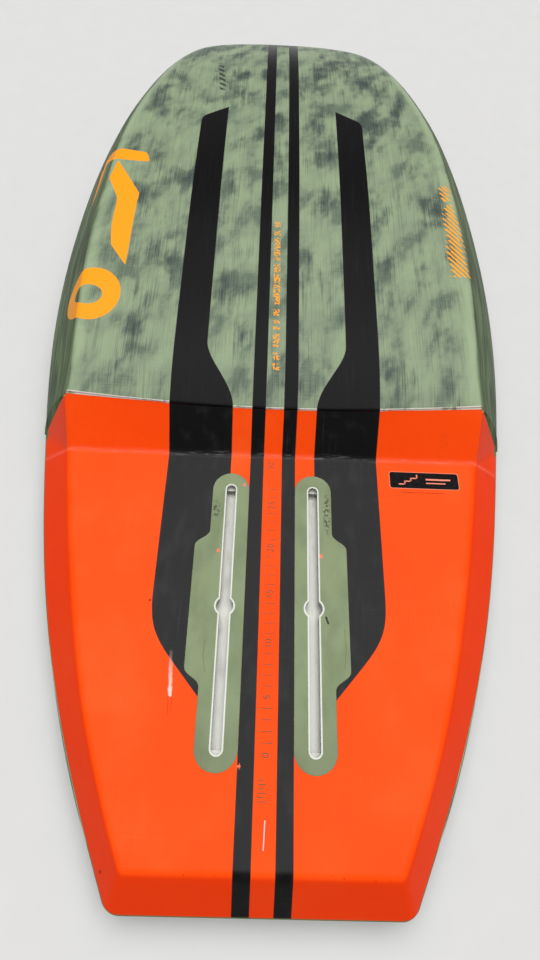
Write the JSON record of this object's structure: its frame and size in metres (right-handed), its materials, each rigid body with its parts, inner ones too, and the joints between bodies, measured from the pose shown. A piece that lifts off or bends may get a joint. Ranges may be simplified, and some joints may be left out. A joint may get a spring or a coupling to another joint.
{
  "type": "foil board",
  "caption": "Step-bottom foil board, shown bottom up: leaning rails, flat bevelled tail, paired foil tracks, padded deck with handle, leash and vent plugs.",
  "frame": {"origin": "under the middle of the bounding box, on the plane of the deck pads that the board lies on", "axes": "+X across the board, +Y towards the nose, +Z out of the bottom, which faces up"},
  "size_m": [0.5907, 1.321, 0.1295],
  "materials": {
    "eps_foam": "closed-cell bead foam",
    "green_laminate": "brushed sage green over blue-grey, satin lacquer",
    "orange_laminate": "satin orange paint",
    "block_foam": "dense foam",
    "aluminium": "dull extruded",
    "olive_plate": "olive paint over a laminate plate",
    "black_plastic": "moulded, fine texture",
    "steel": "brushed",
    "seal_rubber": "matte",
    "deck_foam": "grooved foam sheet"
  },
  "bodies": {
    "hull": {"core_front": "eps_foam", "core_rear": "eps_foam", "deck_skin": "green_laminate", "bottom_skin_front": "green_laminate", "bottom_skin_rear": "orange_laminate", "foil_block_left": "block_foam", "foil_block_right": "block_foam", "track_left": "aluminium", "track_right": "aluminium", "track_plate_left": "olive_plate", "track_plate_right": "olive_plate", "handle_cup": "black_plastic", "handle_grip": "black_plastic", "leash_cup": "black_plastic", "leash_pin": "steel", "vent_housing": "black_plastic", "strap_inserts": "black_plastic", "insert_blocks": "block_foam", "deck_pad_middle": "deck_foam", "deck_pad_crown": "deck_foam", "deck_pad_outer_left": "deck_foam", "deck_pad_outer_right": "deck_foam", "deck_pad_side_left": "deck_foam", "deck_pad_side_right": "deck_foam", "deck_pad_rear_left": "deck_foam", "deck_pad_rear_right": "deck_foam", "deck_pad_tail_left": "deck_foam", "deck_pad_tail_right": "deck_foam"},
    "vent_seal": {"vent_ring": "seal_rubber"},
    "vent_screw": {"vent_screw": "steel"}
  },
  "joints": [
    {"name": "vent_rise", "type": "slide", "parent": "hull", "child": "vent_seal", "axis": [0, 0, -1], "range_m": [0, 0.003]},
    {"name": "vent_turn", "type": "hinge", "parent": "vent_seal", "child": "vent_screw", "pos_m": [0, 0.4, 0.006], "axis": [0, 0, -1], "range_deg": [0, 864]}
  ],
  "couplings": [
    {"joint": "vent_turn", "follows": "vent_rise", "rad_per_m": 5026.5}
  ]
}
